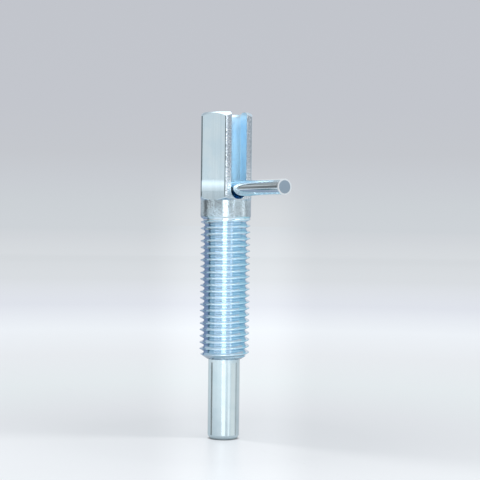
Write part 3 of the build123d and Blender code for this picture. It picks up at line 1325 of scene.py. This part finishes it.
def card(name, corners, faces, place_along, stops, two_sided=False):
    """place_along(tree, x, y, z) says where on the ramp of stops a point of the card is."""
    finish = bpy.data.materials.new(name)
    tree = cleared(finish)
    here = add(tree, "ShaderNodeTexCoord").outputs["Object"]
    place_on_ramp = place_along(tree, *join(tree, "ShaderNodeSeparateXYZ", here))
    light = glow(tree, grey_ramp(tree, place_on_ramp, stops))
    add(tree, "ShaderNodeOutputMaterial", Surface=light if two_sided else inward(tree, light))
    mesh = bpy.data.meshes.new(name)
    mesh.from_pydata(corners, [], faces)
    mesh.materials.append(finish)
    sheet = in_scene(name, mesh)
    sheet.visible_camera = False
    sheet.visible_diffuse = False
    sheet.visible_shadow = False
    sheet.visible_transmission = False


# %% An upright card
CARD_TOP = 0.4    # the height at the ramp's end, in metres
FAR_CARD = 0.1    # a card this far from the axis is one of the far ones


def up_the_card(tree, x, y, z):
    return calc(tree, "DIVIDE", z, CARD_TOP)


def flag(name, start, stop, distance, low, high, greys):
    """A card between two directions. greys are (height, grey), or one for all of it."""
    greys = greys if isinstance(greys, list) else [(low, greys), (high, greys)]
    corners = [
        round_the_object(degrees, distance, z)
        for degrees, z in ((start, low), (stop, low), (stop, high), (start, high))
    ]
    stops = [(z / CARD_TOP, grey) for z, grey in greys]
    card(name, corners, [(0, 1, 2, 3)], up_the_card, stops, two_sided=distance > FAR_CARD)


# %% Cards for the hexagon
shelf = [(0.078, 0.30), (0.125, 0.36), (0.138, 0.9), (0.148, 0.9), (0.158, 0.38), (0.22, 0.42)]
line = [(0.0786, 0.72), (0.0797, 1.0), (0.0803, 1.4), (0.0813, 1.4), (0.082, 1.08), (0.0824, 0.96)]
HEXAGON_CARDS = [    # name, from and to in degrees, distance, bottom, top, greys
    ("black_flag_left", -116, -96, 0.22, 0.066, 0.2, [(0.078, 0.20), (0.2, 0.24)]),
    ("edge_flag_left", -96, -90, 0.22, 0.066, 0.2, [(0.078, 0.42), (0.2, 0.45)]),
    ("grey_flag_left", -127, -116, 0.22, 0.066, 0.23, shelf),
    ("light_flag_left", -142, -127, 0.22, 0.066, 0.23, [(0.078, 0.56), (0.2, 0.5)]),
    ("grey_flag_right", 97, 108, 0.25, 0.066, 0.19, 0.42),
    ("dark_card_left", -93, -68, 0.23, 0.080, 0.14, 0.15),
    ("dim_card_left", -52, -15, 0.23, 0.080, 0.14, 0.3),
    ("bright_card_corner", -15, 5, 0.25, 0.078, 0.14, 1.55),
    ("white_line_left", -76, -44, 0.034, 0.0786, 0.0824, line),
]
for row in HEXAGON_CARDS:
    flag(*row)
print("cards for the hexagon", len(HEXAGON_CARDS))

# %% Cards close round the thread and the pin
THREAD_CARDS = [    # name, from and to in degrees, colour
    ("thread_side_left", -84, -54, (0.60, 0.72, 0.76)),
    ("thread_dark_left", -98, -84, (0.10, 0.20, 0.24)),
    ("thread_dim_left", -160, -98, (0.38, 0.43, 0.55)),
    ("thread_side_right", 40, 84, (0.66, 0.87, 0.95)),
    ("thread_dim_right", 84, 150, (0.50, 0.74, 0.82)),
]
PIN_CARDS = [
    ("pin_line_left", -88, -74, 0.30),
    ("pin_strip_front", -8, 10, 1.4),
    ("pin_strip_right", 25, 36, 1.2),
    ("pin_side_right", 42, 72, (0.93, 0.93, 0.92)),
    ("pin_line_right", 78, 88, 0.52),
]
PIN_CARDS_AWAY, THREAD_CARDS_AWAY = 0.012, 0.03
PIN_CARDS_TOP, THREAD_CARDS_TOP = 0.0235, 0.0695
for name, start, stop, colour in THREAD_CARDS:
    flag(name, start, stop, THREAD_CARDS_AWAY, PIN_CARDS_TOP, THREAD_CARDS_TOP, colour)
for name, start, stop, colour in PIN_CARDS:
    flag(name, start, stop, PIN_CARDS_AWAY, 0.0, PIN_CARDS_TOP, colour)
print("cards round the thread", len(THREAD_CARDS), "and round the pin", len(PIN_CARDS))

# %% A card in the slot's mouth
MOUTH_FADE = 1 / 255    # metres to the right of the slot's middle, where the light ends
MOUTH_AHEAD = 8.3       # millimetres in front of the axis, just off the flat


def across_the_mouth(tree, x, y, z):
    return calc(tree, "DIVIDE", x, MOUTH_FADE)


mouth = ((-2.7, 81.6), (2.7, 81.6), (2.7, 102.8), (-2.7, 102.8))
mouth = [(x * MM, -MOUTH_AHEAD * MM, z * MM) for x, z in mouth]
mouth_stops = [(0.0, (1.0, 1.75, 2.4)), (1.0, (0.05, 0.1, 0.2))]
card("slot_mouth", mouth, [(0, 1, 2, 3)], across_the_mouth, mouth_stops)
print("slot's card", round(mouth[1][0] - mouth[0][0], 4), "m wide")


# %% A band all round at the collar's height
def round_the_band(tree, x, y, z):
    """0 behind the object and 0.5 on the camera's side, going round to the right."""
    angle = calc(tree, "ARCTAN2", y, x)
    from_camera = calc(tree, "MULTIPLY_ADD", angle, 0.5 / math.pi, 0.5 - CAMERA_BEARING / 360)
    return calc(tree, "FRACT", from_camera)


def band(name, distance, low, high, greys, steps=72):
    """greys are (degrees, grey)."""
    corners = []
    for z in (low, high):
        corners += [round_the_object(360 * step / steps, distance, z) for step in range(steps)]
    faces = []
    for here in range(steps):
        there = (here + 1) % steps
        faces.append((here, there, steps + there, steps + here))
    stops = [(0.5 + degrees / 360, grey) for degrees, grey in greys]
    card(name, corners, faces, round_the_band, stops)


band("collar_band", 0.06, 0.0705, 0.0766, [
    (-180, 0.62), (-119, 0.66), (-110, 0.42), (-102, 0.18), (-93, 0.18), (-84, 0.56), (-76, 0.72),
    (-60, 0.66), (-14, 0.62), (-10, 2.0), (8, 2.0), (12, 0.62), (22, 0.56), (33, 0.85), (39, 0.85),
    (48, 0.62), (70, 0.70), (79, 1.1), (88, 1.0), (99, 0.50), (125, 0.66),
])


# %% [markdown]
# ## The camera
#
# A long lens at the height of the collar looks almost level, so the upright edges stay
# upright. The camera leans by a fraction of a degree, as a hand-set tripod head does.

# %% Camera
FIELD_OF_VIEW = math.radians(20.05)
LEAN = math.radians(0.65)
EYE_HEIGHT = 0.06765
AIM_RIGHT, AIM_HEIGHT = 0.00462, 0.0629    # the point that it looks at


def camera():
    lens = bpy.data.cameras.new("camera")
    lens.sensor_width = 36.0
    lens.lens = lens.sensor_width / 2 / math.tan(FIELD_OF_VIEW / 2)
    lens.clip_start, lens.clip_end = 0.01, 200.0
    eye = in_scene("camera", lens)
    eye.location = round_the_object(0, CAMERA_DISTANCE, EYE_HEIGHT)
    target = round_the_object(90, AIM_RIGHT, AIM_HEIGHT)
    aim = (target - eye.location).to_track_quat("-Z", "Y").to_matrix()
    eye.rotation_euler = (aim @ Matrix.Rotation(LEAN, 3, "Z")).to_euler()
    bpy.context.scene.camera = eye
    print("camera", CAMERA_DISTANCE, "m away, lens", round(lens.lens, 1), "mm")


camera()
bpy.context.scene.view_settings.view_transform = "Standard"
